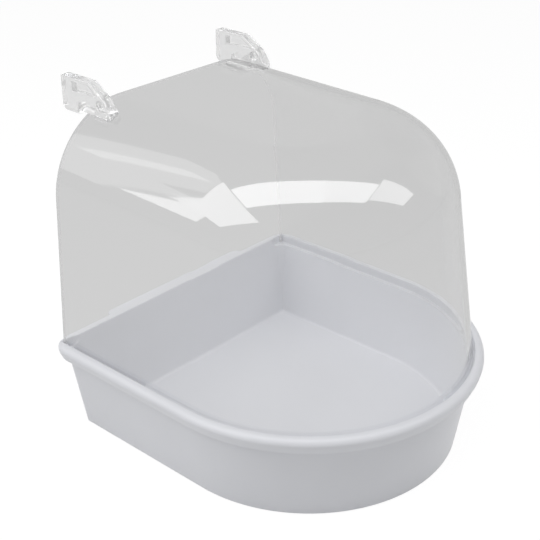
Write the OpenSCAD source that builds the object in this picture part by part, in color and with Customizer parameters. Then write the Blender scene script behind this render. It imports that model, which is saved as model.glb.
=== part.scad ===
// Hanging bird bath for a cage: a D-shaped water tray, a clear vaulted hood that lifts off it,
// and two clear hooks that plug into the hood's shoulders.
// The round side is the front (-Y). The flat side (+Y) is open and hangs against the cage door.
// The origin is on the underside of the tray, at the centre of the round front.

/* [Tray] */
// Half width of the tray's underside, and radius of its round front
base_r = 61; // [55:0.1:75]
// Distance from the centre of the round front to the back of the underside
base_back = 67.3; // [60:0.1:90]
// Radius of the two back corners at the underside
corner_r = 0.6; // [0.4:0.1:1.2]
// Height of the tray up to the top of its rim
tray_h = 38.8; // [30:0.1:50]
// How far the wall leans out for each millimetre of height
wall_draft = 0.155; // [0.06:0.001:0.2]
// Thickness of the walls and of the floor
tray_t = 2; // [1.6:0.1:2.4]
// Radius of the fillet between the floor and the walls
floor_fillet_r = 1.4; // [0.8:0.1:1.8]

/* [Rim] */
// How far the rim stands out past the line of the wall
rim_over = 3; // [2.7:0.1:5]
// Height of the rim
rim_h = 6.2; // [5.5:0.1:8]
// Width of the rim from the hood's socket to its outer edge
rim_w = 3.7; // [3:0.1:4]
// Radius of the rim's rounded outer edge
rim_edge_r = 2.4; // [1:0.1:2.6]
// How far the rim's outer face leans in towards its lower edge
rim_lean = 1.2; // [0:0.1:1.5]
// Angle by which the rim runs round each back corner
rim_wrap = 60; // [60:5:80]
// Depth of the socket that takes the hood's foot
socket_d = 4; // [3:0.1:4.4]
// Thickness of the lip along the back
lip_t = 1.6; // [1.2:0.1:2]
// Width of the doorstep at the middle of the back
step_w = 78; // [40:1:100]
// How far the doorstep stands out from the lip
step_d = 3; // [2:0.1:6]
// Thickness of the doorstep
step_t = 1.8; // [1.2:0.1:2.5]

/* [Hood] */
// Height of the hood's top, at its open back, above the rim
hood_rise = 93.7; // [80:0.1:110]
// How far the top falls for each millimetre towards the front
top_fall = 0.025; // [0:0.005:0.04]
// Wall thickness of the hood
hood_t = 2; // [1.5:0.1:2.2]
// How far the open back of the hood is past the back of the tray's underside
hood_past = 4.5; // [3:0.1:6]
// Radius of the shoulders along the sides
shoulder_r = 35; // [25:0.5:38]
// Radius of the shoulder at the front
brow_r = 34.3; // [25:0.1:38]
// How far the sides lean in for each millimetre of height
side_draft = 0.058; // [0.02:0.001:0.07]
// How far the front leans in for each millimetre of height
front_draft = 0.173; // [0.05:0.001:0.2]
// Play between the hood's foot and the rim
hood_play = 0.3; // [0.2:0.05:0.5]
// Gap between the hood's foot and the ledge it stands on
foot_gap = 0.1; // [0.05:0.05:0.3]

/* [Hooks] */
// Distance of each hook's middle from the middle of the hood
hook_x = 41.8; // [37:0.1:44]
// Width of a hook
hook_w = 4.2; // [4:0.1:6]
// How far a hook reaches back past the hood
hook_reach = 14.2; // [13:0.1:18]
// How far a hook's toe reaches forward from the back of the hood
toe_reach = 13.2; // [11.5:0.1:15]
// Height of a hook above the top of the hood
hook_h = 8.2; // [7.5:0.1:12]
// How far a hook's lip hangs below the top of the hood
lip_drop = 5.3; // [4.5:0.1:8]
// Width of the slot that takes a cage wire
wire_slot = 2; // [1.5:0.1:3]
// Thickness of the web between a hook's side pockets
web_t = 1.4; // [1:0.1:2]
// Width of the stud below a hook
stud_w = 2.4; // [2:0.1:3]
// Length of the stud below a hook
stud_l = 6; // [5:0.5:7]
// Play of the stud in its hole in the hood
stud_play = 0.15; // [0.1:0.05:0.3]
// Gap between a hook's foot and the hood
seat_gap = 0.15; // [0.1:0.05:0.3]

/* [Hidden] */

tray_colour = [0.80, 0.82, 0.85];
clear_colour = [0.86, 0.88, 0.90, 0.45];

round_fn = 96;
corner_fn = 64;
small_fn = 32;
front_steps = 40;
shoulder_steps = 14;
eps = 0.01;

// Tray: the wall's section is drawn as r across and z up, with r measured like the half width
rim_r = base_r + wall_draft * tray_h + rim_over;
socket_r = rim_r - rim_w;
lip_r = socket_r + lip_t;
lip_chamfer = 0.3;
flare_drop = 0.4;
under_z = tray_h - rim_h;
under_r = base_r + wall_draft * under_z;
ledge_z = tray_h - socket_d;
ledge_r = base_r + wall_draft * ledge_z - tray_t;
brim_r = base_r + wall_draft * tray_h - tray_t;
flare_z = ledge_z - flare_drop;
hub_r = base_r - corner_r;
hub_y = base_back - corner_r;
fillet_z = tray_t + floor_fillet_r;
fillet_r = base_r + wall_draft * fillet_z - tray_t;
corner_z = (tray_t - corner_r) / wall_draft;
bite = 0.8;
floor_edge = fillet_r - floor_fillet_r - bite;

// Hood: outer sizes at the foot and at the shoulders
foot_z = ledge_z + foot_gap;
foot_r = socket_r - hood_play;
hood_top = tray_h + hood_rise;
hood_back = base_back + hood_past;
shoulder_z = hood_top - shoulder_r;
crown_half = foot_r - side_draft * (shoulder_z - foot_z) - shoulder_r / cos(atan(side_draft));

// Hooks: the side outline is drawn as y across and z up.
// Reaches are measured from the back of the hood, rises and drops from its top.
body_reach = 3;
slot_drop = 0.4;
lip_corner_r = 2.4;
toe_drop = 1.5;
brow_reach = 9.8;
brow_rise = 3;
crest_reach = 1.6;
foot_sink = 9;
pocket_rib = 1.5;
pocket_inset = 6;
low_pocket_r = 2.1;
low_pocket_reach = 7.6;
low_pocket_rise = 0.3;
stud_reach = 6.6;
stud_drop = 8;
stud_bite = 0.6;
hole_sink = 12;
hook_top = hood_top + hook_h;
hook_back = hood_back + hook_reach;
body_back = hood_back + body_reach;
lip_front = body_back + wire_slot;
lip_bottom = hood_top - lip_drop;
slot_turn = hood_top - slot_drop - wire_slot / 2;
toe = [hood_back - toe_reach, hood_top - toe_drop];
brow = [hood_back - brow_reach, hood_top + brow_rise];
crest = [hood_back - crest_reach, hook_top];
foot_bottom = hood_top - foot_sink;
pocket_d = (hook_w - web_t) / 2;
pocket_back = hook_back - pocket_inset;
low_pocket = [hood_back - low_pocket_reach, hood_top + low_pocket_rise];
stud_y = hood_back - stud_reach;
stud_bottom = hood_top - stud_drop;
stud_inner = hook_x - stud_w / 2 - crown_half;
stud_top = shoulder_z + sqrt(pow(shoulder_r, 2) - pow(stud_inner, 2)) + stud_bite;
hole_bottom = hood_top - hole_sink;

// The underside and the wall's outer face, from inner_r outwards and up to the rim
function outer_points(inner_r) = [[inner_r, 0], [base_r, 0], [under_r, under_z]];

// Outline of the tray's section from inner_r outwards: floor, wall and top.
// The round front and the sides have the rim and the hood's socket, and the back has a plain lip.
function wall_points(inner_r, rim) = concat(
    outer_points(inner_r),
    rim ? concat(rim_points(), socket_points()) : lip_points(),
    [for (a = [0 : 22.5 : 90])
        [fillet_r - floor_fillet_r + floor_fillet_r * cos(a), fillet_z - floor_fillet_r * sin(a)]],
    [[inner_r, tray_t]]
);

// The rim's outer face, from its lower edge to the start of its flat top
function rim_points() = concat(
    [[rim_r - rim_lean, under_z]],
    [for (a = [0 : 15 : 90])
        [rim_r - rim_edge_r + rim_edge_r * cos(a), tray_h - rim_edge_r + rim_edge_r * sin(a)]]
);

// The socket, from the edge of the rim's flat top down to the ledge that the hood stands on
function socket_points() = [
    [socket_r + lip_chamfer, tray_h], [socket_r, tray_h - lip_chamfer],
    [socket_r, ledge_z], [ledge_r, ledge_z]
];

// The lip, from the flare under it to its inner edge at the top of the wall
function lip_points() = [
    [lip_r, flare_z], [lip_r, tray_h],
    [brim_r + lip_chamfer, tray_h], [brim_r - wall_draft * lip_chamfer, tray_h - lip_chamfer]
];

// One half of the straight middle of the tray, from the round front to the back corner
module side_run() {
    rotate([90, 0, 0])
        mirror([0, 0, 1])
            linear_extrude(hub_y) polygon(wall_points(0, true));
}

// A turn of a section about the hub of the right back corner
module corner_turn(angle, points) {
    translate([hub_r, hub_y, 0])
        rotate_extrude(angle = angle, $fn = corner_fn)
            polygon([for (p = points) p - [hub_r, 0]]);
}

module tray_half() {
    side_run();
    // In the corner the inner faces meet in an edge up to corner_z, and in a growing round above it
    corner_turn(90, concat(outer_points(hub_r), lip_points(), [[hub_r, corner_z]]));
    // The rim carries on round the corner for part of the turn
    corner_turn(rim_wrap, concat(
        [[lip_r - bite, flare_z], [under_r - bite, under_z]], rim_points(), [[lip_r - bite, tray_h]]
    ));
}

module back_run() {
    translate([hub_r, hub_y, 0])
        rotate([90, 0, -90])
            linear_extrude(2 * hub_r)
                polygon([for (p = wall_points(floor_edge, false)) [hub_r - p[0], p[1]]]);
}

module doorstep() {
    back_y = base_back + lip_r - base_r;
    translate([0, back_y, tray_h - step_t])
        linear_extrude(step_t) {
            translate([step_d - step_w / 2, -bite]) square([step_w - 2 * step_d, step_d + bite]);
            translate([-step_w / 2, -bite]) square([step_w, bite]);
            for (s = [-1, 1])
                translate([s * (step_w / 2 - step_d), 0]) circle(step_d, $fn = small_fn);
        }
}

// The hood's socket runs straight on past the right back corner to the open back of the hood
module socket_end() {
    translate([hub_r, hub_y - bite, ledge_z])
        cube([socket_r - hub_r, bite + hood_back + hood_play - hub_y, socket_d + eps]);
}

module tray() {
    color(tray_colour)
        difference() {
            union() {
                rotate([0, 0, 180])
                    rotate_extrude(angle = 180, $fn = round_fn) polygon(wall_points(0, true));
                tray_half();
                mirror([1, 0, 0]) tray_half();
                back_run();
                doorstep();
            }
            socket_end();
            mirror([1, 0, 0]) socket_end();
        }
}

// Hood surface. A profile runs from the foot to the crown as [step in from the foot, height].
// Its leaning wall runs smoothly into the turn.
function hood_profile(draft, r, skin) =
    let (
        lean = atan(draft),
        turn_z = hood_top - r,
        reach = draft * (turn_z - foot_z) + r / cos(lean),
        rr = r - skin
    )
    concat(
        [[skin / cos(lean), foot_z]],
        [for (i = [0 : shoulder_steps])
            let (a = lean + (90 - lean) * i / shoulder_steps)
            [reach - rr * cos(a), turn_z + rr * sin(a)]]
    );

// Stations along the hood's foot as [front angle, y of the straight sides]
hood_stations = concat(
    [[0, hood_back], [0, hood_back / 2]],
    [for (i = [0 : front_steps]) [180 * i / front_steps, 0]],
    [[180, hood_back / 2], [180, hood_back]]
);

// Height of a point of the hood at y once the fall of the top is taken off
function fallen(y, z) = z - top_fall * (hood_back - y) * (z - foot_z) / (hood_top - foot_z);

// Points of the hood's outer skin (skin = 0) or inner skin (skin = wall thickness)
function hood_skin(skin) =
    let (
        side = hood_profile(side_draft, shoulder_r, skin),
        front = hood_profile(front_draft, brow_r, skin)
    )
    [for (s = hood_stations)
        for (j = [0 : len(side) - 1])
            let (
                k = pow(sin(s[0]), 2),
                y = s[1] - (foot_r - front[j][0]) * sin(s[0])
            )
            [(foot_r - side[j][0]) * cos(s[0]), y, fallen(y, side[j][1] * (1 - k) + front[j][1] * k)]];

// Two triangles for the four corners of a cell
function cell(a, b, c, d) = [[a, b, c], [a, c, d]];

module hood_shell() {
    rows = shoulder_steps + 2;
    last = len(hood_stations) - 1;
    top = rows - 1;
    half = last / 2;
    skin_n = rows * (last + 1);
    outer_faces = [for (i = [0 : last - 1]) for (j = [0 : top - 1])
        let (n = i * rows + j) each cell(n, n + 1, n + 1 + rows, n + rows)];
    // The flat crown is filled by cells that run across it from the right side to the left
    crown_faces = [for (i = [0 : half - 1])
        let (r = i * rows + top, l = (last - i) * rows + top)
        each i < half - 1 ? cell(r, l, l - rows, r + rows) : [[r, l, l - rows]]];
    skin_faces = concat(outer_faces, crown_faces);
    inner_faces = [for (f = skin_faces) [f[2] + skin_n, f[1] + skin_n, f[0] + skin_n]];
    // The edge of the wall along the foot and round the open back
    foot_faces = [for (i = [0 : last - 1])
        let (n = i * rows) each cell(n, n + rows, n + rows + skin_n, n + skin_n)];
    side_edges = [for (j = [0 : top - 1])
        let (m = j + last * rows)
        each concat(
            cell(j + 1, j, j + skin_n, j + 1 + skin_n),
            cell(m, m + 1, m + 1 + skin_n, m + skin_n)
        )];
    crown_edge = cell(last * rows + top, top, top + skin_n, last * rows + top + skin_n);
    polyhedron(
        points = concat(hood_skin(0), hood_skin(hood_t)),
        faces = concat(skin_faces, inner_faces, foot_faces, side_edges, crown_edge)
    );
}

// Hole in the hood's right shoulder for the stud of a hook
module stud_hole() {
    hole_w = stud_w + 2 * stud_play;
    hole_l = stud_l + 2 * stud_play;
    translate([hook_x - hole_w / 2, stud_y - hole_l / 2, hole_bottom])
        cube([hole_w, hole_l, hook_top - hole_bottom]);
}

module hood() {
    color(clear_colour)
        difference() {
            hood_shell();
            stud_hole();
            mirror([1, 0, 0]) stud_hole();
        }
}

// Side outline of a hook, y across and z up
module hook_outline() {
    difference() {
        union() {
            polygon([
                [toe[0], foot_bottom], toe, brow, crest,
                [hook_back, hook_top], [hook_back, lip_bottom + lip_corner_r],
                [hook_back - lip_corner_r, lip_bottom], [lip_front, lip_bottom],
                [lip_front, slot_turn], [body_back, slot_turn], [body_back, foot_bottom]
            ]);
            translate([hook_back - lip_corner_r, lip_bottom + lip_corner_r])
                circle(lip_corner_r, $fn = small_fn);
        }
        translate([body_back + wire_slot / 2, slot_turn]) circle(wire_slot / 2, $fn = small_fn);
    }
}

// Pockets moulded into both faces of a hook to leave a rib round its edge
module hook_pockets() {
    slope = (crest - brow) / norm(crest - brow);
    inward = pocket_rib * [slope[1], -slope[0]];
    polygon([
        brow + 2 * pocket_rib * slope + inward,
        crest + inward,
        [pocket_back, hook_top - pocket_rib],
        [pocket_back, brow[1]]
    ]);
    translate(low_pocket) circle(low_pocket_r, $fn = small_fn);
}

// The shoulder that a hook stands on, which falls towards the front with the top of the hood
module seat() {
    behind = body_back + wire_slot / 2 - hood_back;
    translate([crown_half, hood_back, shoulder_z])
        rotate([90 + atan(top_fall), 0, 0])
            translate([0, 0, -behind])
                cylinder(r = shoulder_r + seat_gap, h = hood_back, $fn = round_fn);
}

// The right-hand hook: y and z of its outline are laid along the object's own axes
module hook() {
    color(clear_colour) {
        difference() {
            translate([hook_x - hook_w / 2, 0, 0])
                rotate([90, 0, 90]) linear_extrude(hook_w) hook_outline();
            seat();
            for (x = [hook_x - hook_w / 2 - eps, hook_x + web_t / 2])
                translate([x, 0, 0])
                    rotate([90, 0, 90]) linear_extrude(pocket_d + eps) hook_pockets();
        }
        translate([hook_x - stud_w / 2, stud_y - stud_l / 2, stud_bottom])
            cube([stud_w, stud_l, stud_top - stud_bottom]);
    }
}

module right_hook() {
    hook();
}

module left_hook() {
    mirror([1, 0, 0]) hook();
}

tray();
hood();
left_hook();
right_hook();
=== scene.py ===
"""Looks of a hanging bath for cage birds: a moulded tray, a clear vaulted hood and two clear hooks.

Sizes in the classes of the pieces are millimetres in the shared frame. Meshes and the studio are in metres.
"""

import logging
import math
from dataclasses import dataclass
from enum import Enum
from typing import ClassVar

import bmesh
import bpy
import numpy as np
from mathutils import Matrix


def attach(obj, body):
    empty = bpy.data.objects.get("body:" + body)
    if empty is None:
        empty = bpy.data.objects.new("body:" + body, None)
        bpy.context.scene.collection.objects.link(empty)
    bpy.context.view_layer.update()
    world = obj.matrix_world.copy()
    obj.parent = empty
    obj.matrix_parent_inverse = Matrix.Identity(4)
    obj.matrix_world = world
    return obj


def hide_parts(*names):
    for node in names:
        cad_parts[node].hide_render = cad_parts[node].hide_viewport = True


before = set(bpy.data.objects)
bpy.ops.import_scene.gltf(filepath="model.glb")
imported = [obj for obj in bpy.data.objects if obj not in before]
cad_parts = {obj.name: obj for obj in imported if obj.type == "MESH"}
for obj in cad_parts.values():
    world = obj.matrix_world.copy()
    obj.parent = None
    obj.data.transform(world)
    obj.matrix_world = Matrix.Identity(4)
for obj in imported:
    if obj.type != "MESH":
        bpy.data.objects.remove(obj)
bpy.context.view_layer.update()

log = logging.getLogger("bird_bath")
MM = 0.001

# Points nearer than the first are merged and edges shorter than the second are dissolved, in metres
MERGE_M = 2e-6
SLIVER_M = 1e-6

Piece = bpy.types.Object
Tree = bpy.types.NodeTree
Socket = bpy.types.NodeSocket
Pair = tuple[float, float]
Triple = tuple[float, float, float]
Colour = tuple[float, float, float, float]


class Side(Enum):
    """Which of the two hooks a piece is."""

    LEFT = "left_hook"
    RIGHT = "right_hook"


class Skin(Enum):
    """The material index of the hood's skins: outside, inside and both sides of the foot.

    The cut edge is the wall's own thickness, at the open back and in the stud holes.
    """

    OUTER = 0
    INNER = 1
    FOOT_OUTER = 2
    FOOT_INNER = 3
    CUT_EDGE = 4


# Meshes


@dataclass(frozen=True)
class Rounding:
    """How the sharp edges of a piece are rounded.

    Attributes:
        width_mm: width of the rounding.
        angle_deg: edges sharper than this are rounded.
        segments: faces across a rounding.
    """

    width_mm: float
    angle_deg: float
    segments: int


def linked(name: str, data: bpy.types.ID) -> Piece:
    """Makes an object of the scene, at the origin.

    Args:
        name: the object's name.
        data: its mesh, lamp or camera.

    Returns:
        The object.
    """
    obj = bpy.data.objects.new(name, data)
    bpy.context.scene.collection.objects.link(obj)
    return obj


def standing(axes: tuple[np.ndarray, np.ndarray, np.ndarray], place: np.ndarray) -> Matrix:
    """Works out where a lamp or camera stands.

    Args:
        axes: the directions of its own x, y and z.
        place: its place in metres.

    Returns:
        Its matrix.
    """
    matrix = np.eye(4)
    matrix[:3, :3] = np.stack(axes, -1)
    matrix[:3, 3] = place
    return Matrix(matrix.tolist())


def smoothed(obj: Piece, rounding: Rounding | None = None) -> None:
    """Rounds the sharp edges of a piece and shades it smooth with normals weighted by face area.

    Args:
        obj: the piece.
        rounding: how its edges are rounded, or None where its mesh already has round edges.
    """
    mesh = obj.data
    mesh.polygons.foreach_set("use_smooth", np.ones(len(mesh.polygons), bool))
    if rounding:
        bevel = obj.modifiers.new("edge_rounding", "BEVEL")
        bevel.width = rounding.width_mm * MM
        bevel.segments = rounding.segments
        bevel.limit_method = "ANGLE"
        bevel.angle_limit = math.radians(rounding.angle_deg)
        bevel.use_clamp_overlap = True
    weighted = obj.modifiers.new("even_normals", "WEIGHTED_NORMAL")
    weighted.mode = "FACE_AREA"
    weighted.keep_sharp = False


def mesh_piece(name: str, points: np.ndarray, faces: np.ndarray, slots: np.ndarray | None = None) -> Piece:
    """Makes a closed piece from points in millimetres and four-cornered faces.

    Doubled points are merged, so that seams and poles close. The faces are turned outwards first if the
    signed volume, the sum of corner triple products, comes out negative.

    Args:
        name: the piece's name.
        points: array (n, 3).
        faces: array (m, 4) of point numbers.
        slots: array (m) of material indices, or None for all 0.

    Returns:
        The new object, at the origin and linked to the scene.
    """
    a, b, c, d = (points[faces[:, k]] for k in range(4))
    volume = np.einsum("ij,ij->i", a, np.cross(b, c)).sum() + np.einsum("ij,ij->i", a, np.cross(c, d)).sum()
    if volume < 0:
        faces = faces[:, ::-1]
    mesh = bpy.data.meshes.new(name)
    mesh.from_pydata((points * MM).tolist(), [], faces.tolist())
    if slots is not None:
        mesh.polygons.foreach_set("material_index", slots.astype(np.int32))
    bm = bmesh.new()
    bm.from_mesh(mesh)
    bmesh.ops.remove_doubles(bm, verts=bm.verts, dist=MERGE_M)
    bmesh.ops.dissolve_degenerate(bm, edges=bm.edges, dist=SLIVER_M)
    bm.to_mesh(mesh)
    bm.free()
    mesh.update()
    log.info("%s: %d points, %d faces", name, len(mesh.vertices), len(mesh.polygons))
    return linked(name, mesh)


def arc(r: float, z: float, radius: float, start_deg: float, end_deg: float, count: int) -> np.ndarray:
    """Points (count, 2) of a circular arc about (r, z), from one angle to another."""
    a = np.radians(np.linspace(start_deg, end_deg, count))
    return np.stack([r + radius * np.cos(a), z + radius * np.sin(a)], -1)


# Shader nodes and the groups that materials share


def neutral(level: float) -> Colour:
    """A grey of the given level, linear and opaque."""
    return (level, level, level, 1.0)


def feed(tree: Tree, socket: Socket, value: Socket | float | Colour) -> None:
    """Gives a socket its value.

    Args:
        tree: the node tree.
        socket: the input.
        value: another node's output, which is linked to it, or a constant, which is set on it.
    """
    if isinstance(value, bpy.types.NodeSocket):
        tree.links.new(value, socket)
    else:
        socket.default_value = value


def worked_out(tree: Tree, operation: str, *values: Socket | float, clamp: bool = False) -> Socket:
    """A Math node.

    Args:
        tree: the node tree.
        operation: what it works out.
        values: its inputs in order.
        clamp: True to keep the result between 0 and 1.

    Returns:
        The socket that holds the result.
    """
    node = tree.nodes.new("ShaderNodeMath")
    node.operation = operation
    node.use_clamp = clamp
    for socket, value in zip(node.inputs, values):
        feed(tree, socket, value)
    return node.outputs["Value"]


def mixed_colour(
    tree: Tree, factor: Socket, first: Socket | Colour, second: Socket | Colour, blend: str
) -> Socket:
    """A Mix node for colours.

    Args:
        tree: the node tree.
        factor: the share of the second colour.
        first: the colour at 0.
        second: the colour that is mixed in.
        blend: how it is mixed in.

    Returns:
        The socket that holds the colour.
    """
    node = tree.nodes.new("ShaderNodeMix")
    node.data_type = "RGBA"
    node.blend_type = blend
    for label, value in (("Factor", factor), ("A", first), ("B", second)):
        feed(tree, node.inputs[label], value)
    return node.outputs["Result"]


def mixed_shader(tree: Tree, share: Socket, first: Socket, second: Socket, out: bpy.types.Node) -> None:
    """Mixes two shaders into an output node's surface.

    Args:
        tree: the node tree.
        share: the share of the second shader.
        first: the shader at 0.
        second: the shader at 1.
        out: the output node.
    """
    node = tree.nodes.new("ShaderNodeMixShader")
    for socket, value in zip(node.inputs, (share, first, second)):
        tree.links.new(value, socket)
    tree.links.new(node.outputs["Shader"], out.inputs["Surface"])


class Groups:
    """The effects that several materials share, each built once as a shader node group.

    Attributes:
        NOISE_SPAN: the part of a noise's range that is spread out.
        RUB_SPAN: the same for the rubs, of which only the peaks show.
        RUB_STRETCH: how much finer the rubs are along each axis.
        RUB_TURN: the angles that turn the rubs away from the axes, in radians.
    """

    NOISE_SPAN: ClassVar[Pair] = (0.3, 0.7)
    RUB_SPAN: ClassVar[Pair] = (0.62, 0.78)
    RUB_STRETCH: ClassVar[Triple] = (1.0, 6.0, 1.0)
    RUB_TURN: ClassVar[Triple] = (0.3, 0.2, 0.5)

    @staticmethod
    def _new(name: str, inputs: dict[str, object], outputs: dict[str, str]) -> Tree:
        """Starts a group with named sockets.

        Args:
            name: the group's name.
            inputs: socket name to default: a number, a colour of four numbers, or None for a vector.
            outputs: socket name to socket type.

        Returns:
            The group, with its input and output nodes named "in" and "out".
        """
        tree = bpy.data.node_groups.new(name, "ShaderNodeTree")
        for label, default in inputs.items():
            kind = "NodeSocketColor" if isinstance(default, tuple) else "NodeSocketFloat"
            if default is None:
                kind = "NodeSocketVector"
            socket = tree.interface.new_socket(label, in_out="INPUT", socket_type=kind)
            if default is not None:
                socket.default_value = default
        for label, kind in outputs.items():
            tree.interface.new_socket(label, in_out="OUTPUT", socket_type=kind)
        tree.nodes.new("NodeGroupInput").name = "in"
        tree.nodes.new("NodeGroupOutput").name = "out"
        return tree

    @staticmethod
    def _noise(tree: Tree, where: Socket, scale: str, detail: float, roughness: float) -> Socket:
        """A noise texture.

        Args:
            tree: the group.
            where: the coordinates that it is read at.
            scale: the group's input that scales it.
            detail: its number of finer layers.
            roughness: how much the finer layers count.

        Returns:
            The socket that holds the noise.
        """
        noise = tree.nodes.new("ShaderNodeTexNoise")
        noise.inputs["Detail"].default_value = detail
        noise.inputs["Roughness"].default_value = roughness
        tree.links.new(where, noise.inputs["Vector"])
        tree.links.new(tree.nodes["in"].outputs[scale], noise.inputs["Scale"])
        return noise.outputs["Fac"]

    @staticmethod
    def _spread(tree: Tree, value: Socket, span: Pair, ends: tuple[str, ...] = ()) -> Socket:
        """Spreads a part of a value's range out.

        Args:
            tree: the group.
            value: the value.
            span: the part of its range.
            ends: the two of the group's inputs that it becomes, or none for 0 and 1.

        Returns:
            The socket that holds the new value.
        """
        spread = tree.nodes.new("ShaderNodeMapRange")
        spread.inputs["From Min"].default_value = span[0]
        spread.inputs["From Max"].default_value = span[1]
        tree.links.new(value, spread.inputs["Value"])
        for label, end in zip(("To Min", "To Max"), ends):
            tree.links.new(tree.nodes["in"].outputs[end], spread.inputs[label])
        return spread.outputs["Result"]

    @classmethod
    def moulded_grain(cls) -> Tree:
        """A mould's surface: slow flow patches in the colour, fine eroded grain in roughness and height.

        Returns:
            The group.
        """
        name = "moulded_grain"
        if name in bpy.data.node_groups:
            return bpy.data.node_groups[name]
        tree = cls._new(
            name,
            {
                "Vector": None,
                "Tone": neutral(0.7),
                "Shade": neutral(0.65),
                "Patch Scale": 20.0,
                "Grain Scale": 900.0,
                "Rough Low": 0.35,
                "Rough High": 0.5,
            },
            {"Color": "NodeSocketColor", "Roughness": "NodeSocketFloat", "Height": "NodeSocketFloat"},
        )
        source, out = tree.nodes["in"].outputs, tree.nodes["out"].inputs
        patch = cls._noise(tree, source["Vector"], "Patch Scale", detail=3.0, roughness=0.55)
        grain = cls._noise(tree, source["Vector"], "Grain Scale", detail=2.0, roughness=0.6)
        share = cls._spread(tree, patch, cls.NOISE_SPAN)
        colour = mixed_colour(tree, share, source["Shade"], source["Tone"], "MIX")
        tree.links.new(colour, out["Color"])
        rough = cls._spread(tree, grain, cls.NOISE_SPAN, ("Rough Low", "Rough High"))
        tree.links.new(rough, out["Roughness"])
        tree.links.new(grain, out["Height"])
        return tree

    @classmethod
    def handling_marks(cls) -> Tree:
        """Hairline rubs and a slow unevenness of polished plastic, as a roughness and a height.

        Returns:
            The group.
        """
        name = "handling_marks"
        if name in bpy.data.node_groups:
            return bpy.data.node_groups[name]
        tree = cls._new(
            name,
            {"Vector": None, "Wave Scale": 18.0, "Rub Scale": 160.0, "Polish": 0.02, "Rubbed": 0.09},
            {"Roughness": "NodeSocketFloat", "Height": "NodeSocketFloat"},
        )
        source, out = tree.nodes["in"].outputs, tree.nodes["out"].inputs
        stretch = tree.nodes.new("ShaderNodeMapping")
        stretch.inputs["Scale"].default_value = cls.RUB_STRETCH
        stretch.inputs["Rotation"].default_value = cls.RUB_TURN
        tree.links.new(source["Vector"], stretch.inputs["Vector"])
        rub = cls._noise(tree, stretch.outputs["Vector"], "Rub Scale", detail=4.0, roughness=0.7)
        rough = cls._spread(tree, rub, cls.RUB_SPAN, ("Polish", "Rubbed"))
        tree.links.new(rough, out["Roughness"])
        wave = cls._noise(tree, source["Vector"], "Wave Scale", detail=1.0, roughness=0.5)
        tree.links.new(wave, out["Height"])
        return tree


def blank_material(name: str) -> tuple[bpy.types.Material, Tree]:
    """Starts a material.

    Args:
        name: the material's name.

    Returns:
        The material and its node tree, which holds only the output node, named "out".
    """
    material = bpy.data.materials.new(name)
    material.use_nodes = True
    tree = material.node_tree
    tree.nodes.clear()
    tree.nodes.new("ShaderNodeOutputMaterial").name = "out"
    return material, tree


def group_node(tree: Tree, group: Tree, values: dict[str, object]) -> bpy.types.Node:
    """Places a group in a material on Object coordinates.

    Args:
        tree: the material's node tree.
        group: the shared group.
        values: socket name to value.

    Returns:
        The group node.
    """
    node = tree.nodes.new("ShaderNodeGroup")
    node.node_tree = group
    for label, value in values.items():
        node.inputs[label].default_value = value
    where = tree.nodes.new("ShaderNodeTexCoord")
    tree.links.new(where.outputs["Object"], node.inputs["Vector"])
    return node


def bumped(tree: Tree, height: Socket, strength: float, depth_mm: float) -> Socket:
    """A Bump node.

    Args:
        tree: the material's node tree.
        height: the height, from 0 to 1.
        strength: how much it counts.
        depth_mm: millimetres of a height of 1 at full strength.

    Returns:
        The socket that holds the normal.
    """
    bump = tree.nodes.new("ShaderNodeBump")
    bump.inputs["Strength"].default_value = strength
    bump.inputs["Distance"].default_value = depth_mm * MM
    tree.links.new(height, bump.inputs["Height"])
    return bump.outputs["Normal"]


# Finishes


@dataclass(frozen=True)
class MouldedFinish:
    """Satin moulded plastic with a fine mould grain.

    Attributes:
        name: the material's name.
        tone: its paler colour, linear.
        shade: its darker colour, linear.
        rough: lowest and highest roughness.
        ior: index of refraction.
        specular: level of its shine.
        patch_scale: flow patches to a metre.
        grain_scale: grains to a metre.
        grain_mm: depth of the grain.
        grain_strength: how much the grain counts.
    """

    name: str
    tone: Triple
    shade: Triple
    rough: Pair = (0.28, 0.42)
    ior: float = 1.47
    specular: float = 0.38
    patch_scale: float = 24.0
    grain_scale: float = 1400.0
    grain_mm: float = 0.012
    grain_strength: float = 0.35

    def material(self) -> bpy.types.Material:
        """Builds the material.

        Returns:
            The material.
        """
        material, tree = blank_material(self.name)
        skin = group_node(
            tree,
            Groups.moulded_grain(),
            {
                "Tone": (*self.tone, 1.0),
                "Shade": (*self.shade, 1.0),
                "Patch Scale": self.patch_scale,
                "Grain Scale": self.grain_scale,
                "Rough Low": self.rough[0],
                "Rough High": self.rough[1],
            },
        )
        plastic = tree.nodes.new("ShaderNodeBsdfPrincipled")
        plastic.inputs["IOR"].default_value = self.ior
        plastic.inputs["Specular IOR Level"].default_value = self.specular
        link = tree.links.new
        link(skin.outputs["Color"], plastic.inputs["Base Color"])
        link(skin.outputs["Roughness"], plastic.inputs["Roughness"])
        normal = bumped(tree, skin.outputs["Height"], self.grain_strength, self.grain_mm)
        link(normal, plastic.inputs["Normal"])
        link(plastic.outputs["BSDF"], tree.nodes["out"].inputs["Surface"])
        return material


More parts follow.
